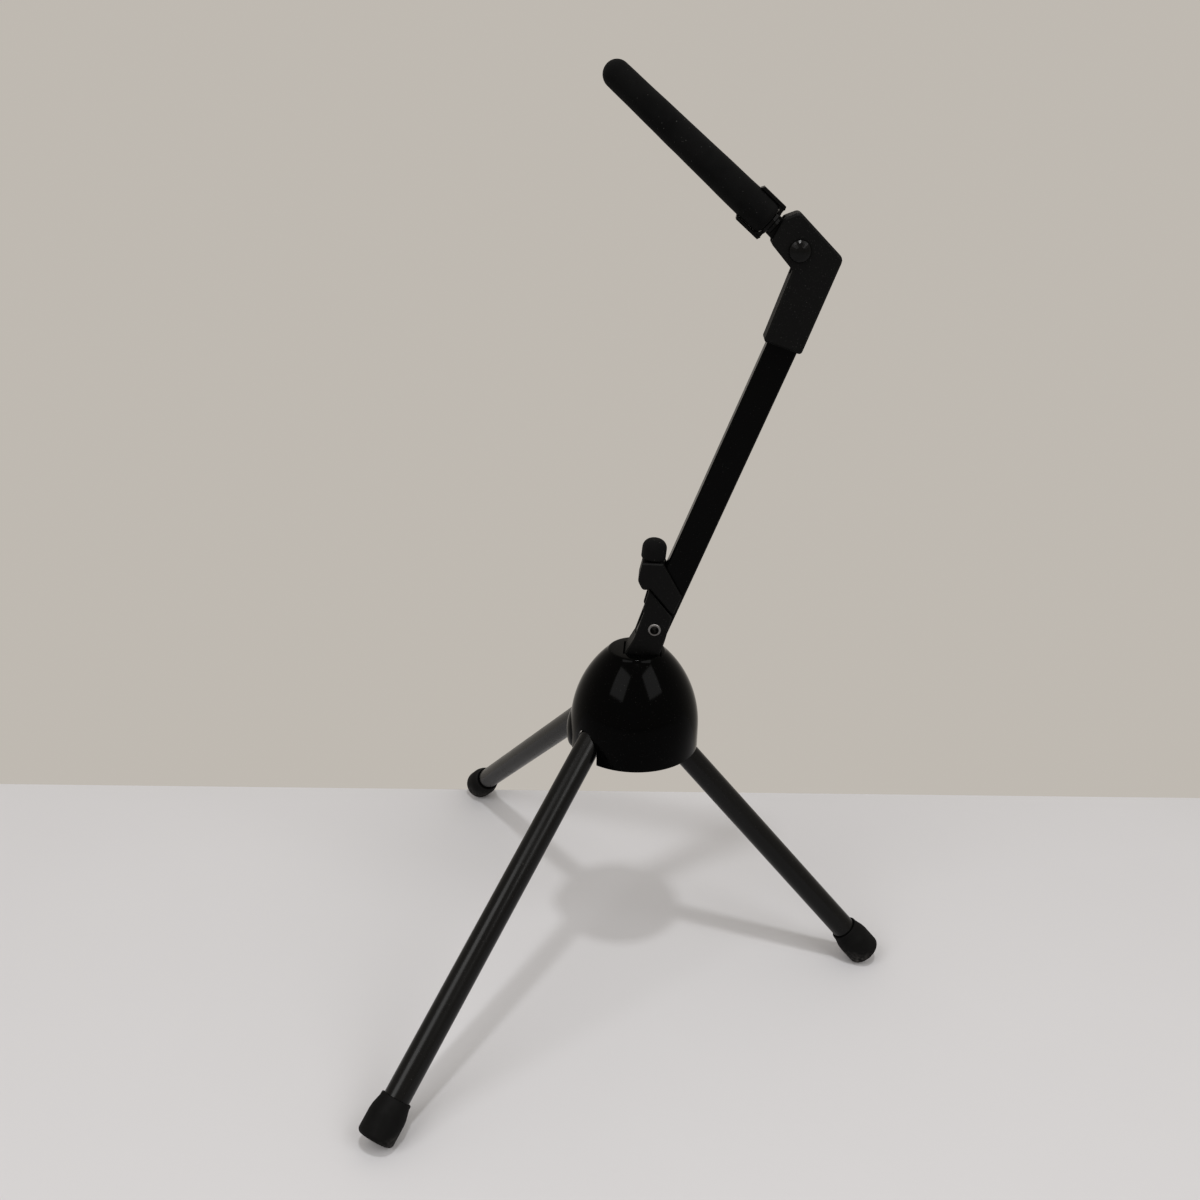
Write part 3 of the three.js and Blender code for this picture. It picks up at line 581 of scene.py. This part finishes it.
def screw_columns():
    """The posts inside the cover that its three screws bite into."""
    radius = 4 * MM
    above = 300 * MM
    columns = []
    for i in (1, 2, 3):
        low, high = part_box(f"hub_screw_{i}")
        centre = (low + high) / 2
        foot = high.z - 5.7 * MM
        profile = [(0, foot), (radius, foot), (radius, above), (0, above)]
        columns.append(revolve(profile, Vector((centre.x, centre.y, 0)), -DOWN, 48))
    return columns


def dome_shell():
    """The glossy cover: a thin dome with three leg slots and a hole for the bracket."""
    hollow = new_object("hollow", dome_mesh(WALL), HUB_GLOSS)
    combine(hollow, screw_columns())
    shell = new_object("dome_shell", dome_mesh(0), HUB_GLOSS)
    combine(shell, [lobe_mesh(0)], "UNION")
    cutters = [mesh_of(hollow), lobe_mesh(WALL), bracket_hole()]
    cutters += [leg_slot(name) for name in LEG_NAMES]
    combine(shell, cutters)
    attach(shell, "hub")
    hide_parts("hub_shell")


# ------------------------------------------------------------------ pieces shown as CAD made them
# Each with its material and the radius of its rounded edges in millimetres.
ROUNDED = {
    "elbow": (ELBOW_PLASTIC, 0.7),
    "elbow_bolt": (BOLT_GLOSS, 0.2),
    "elbow_nut": (STEEL, 0.2),
    "elbow_washer": (STEEL, 0.12),
    "post_tube": (POST_PAINT, 0.7),
    "post_foot": (CORE_PLASTIC, 0.2),
    "post_bracket": (BRACKET_PLASTIC, 0.5),
    "fold_rivet": (RIVET_STEEL, 0.2),
    "bracket_pin": (STEEL, 0.2),
    "lever_body": (LEVER_PLASTIC, 0.6),
    "lever_pin": (STEEL, 0.2),
    "lever_spring": (STEEL, 0.0),
    "peg_core": (PEG_PLASTIC, 0.25),
    "peg_collar": (PEG_PLASTIC, 0.25),
    "hub_core": (CORE_PLASTIC, 0.3),
    "hub_screw_1": (STEEL, 0.15),
    "hub_screw_2": (STEEL, 0.15),
    "hub_screw_3": (STEEL, 0.15),
}
for leg_name in LEG_NAMES:
    ROUNDED[f"leg_knuckle_{leg_name}"] = (CORE_PLASTIC, 0.3)
    ROUNDED[f"leg_pin_{leg_name}"] = (STEEL, 0.2)


def dress_cad_nodes():
    for name, (material, edge) in ROUNDED.items():
        node = frame["nodes"][name]
        node.data.materials.clear()
        node.data.materials.append(material)
        if edge:
            round_edges(node, edge * MM)
        else:
            node.data.shade_smooth()


# ------------------------------------------------------------------ floor, light and camera
SLAB = 2 * MM
MIDDLE = Vector((0, 0, 0.2))


def plain_surface(name, level, matrix, size):
    n = Nodes(name)
    cloud = n.remap(n.noise(3, 4), 0.3, 0.7, 0, 1)
    colour = n.mix(cloud, tuple(c * 0.98 for c in level), level)
    rough = n.remap(n.noise(20, 3), 0.3, 0.7, 0.5, 0.6)
    normal = n.bump(n.noise(300, 3), 0.05, 0.2 * MM)
    material = n.finish(colour, rough, normal, Specular_IOR_Level=0.3)
    surface = new_object(name, prism(square(size), SLAB, matrix), material)


def ceiling_lamp(name, place, size, power):
    """A square lamp that looks at the middle of the stand."""
    light = bpy.data.lights.new(name, "AREA")
    light.shape = "SQUARE"
    light.size = size
    light.energy = power
    lamp = bpy.data.objects.new(name, light)
    lamp.location = place
    lamp.rotation_euler = (MIDDLE - Vector(place)).to_track_quat("-Z", "Y").to_euler()
    bpy.context.scene.collection.objects.link(lamp)


def light_the_scene():
    """A pale room that stands in for the wall, two large soft lamps and a small one between."""
    world = bpy.data.worlds.new("room")
    world.use_nodes = True
    background = world.node_tree.nodes["Background"]
    background.inputs["Color"].default_value = (1.0, 0.94, 0.86, 1)
    background.inputs["Strength"].default_value = 0.46
    bpy.context.scene.world = world
    ceiling_lamp("lamp_left", (-1.3, -1.5, 1.9), 1.4, 17)
    ceiling_lamp("lamp_right", (1.5, -1.3, 2.0), 1.4, 17)
    ceiling_lamp("lamp_above", (0.1, -0.6, 2.3), 0.15, 10)
    view = bpy.context.scene.view_settings
    view.view_transform = "Standard"
    view.look = "Medium High Contrast"


def photo_camera():
    """Low tripod view from the stand's left, tipped down at the hub."""
    data = bpy.data.cameras.new("camera")
    data.sensor_width = 36
    data.lens = 37.4
    camera = bpy.data.objects.new("camera", data)
    heading = Matrix.Rotation(math.radians(3.24), 4, "Z")
    tip = Matrix.Rotation(math.radians(90 - 22.57), 4, "X")
    roll = Matrix.Rotation(math.radians(1.07), 4, "Z")
    camera.matrix_world = Matrix.Translation((0.0027, -0.7205, 0.5629)) @ heading @ tip @ roll
    bpy.context.scene.collection.objects.link(camera)
    bpy.context.scene.camera = camera


def pale_floor():
    """A pale table top that ends just behind the stand, a few degrees off square to it."""
    size = 6
    back = 0.208
    edge = Matrix.Translation((0, back, -SLAB / 2)) @ Matrix.Rotation(math.radians(4), 4, "Z")
    plain_surface("floor", (0.62, 0.62, 0.64), edge @ Matrix.Translation((0, -size / 2, 0)), size)


# ------------------------------------------------------------------ the whole scene
for leg_name in LEG_NAMES:
    painted_leg(leg_name)
    rubber_foot(leg_name)
foam_peg()
foam_grip()
dome_shell()
dress_cad_nodes()
pale_floor()
light_the_scene()
photo_camera()
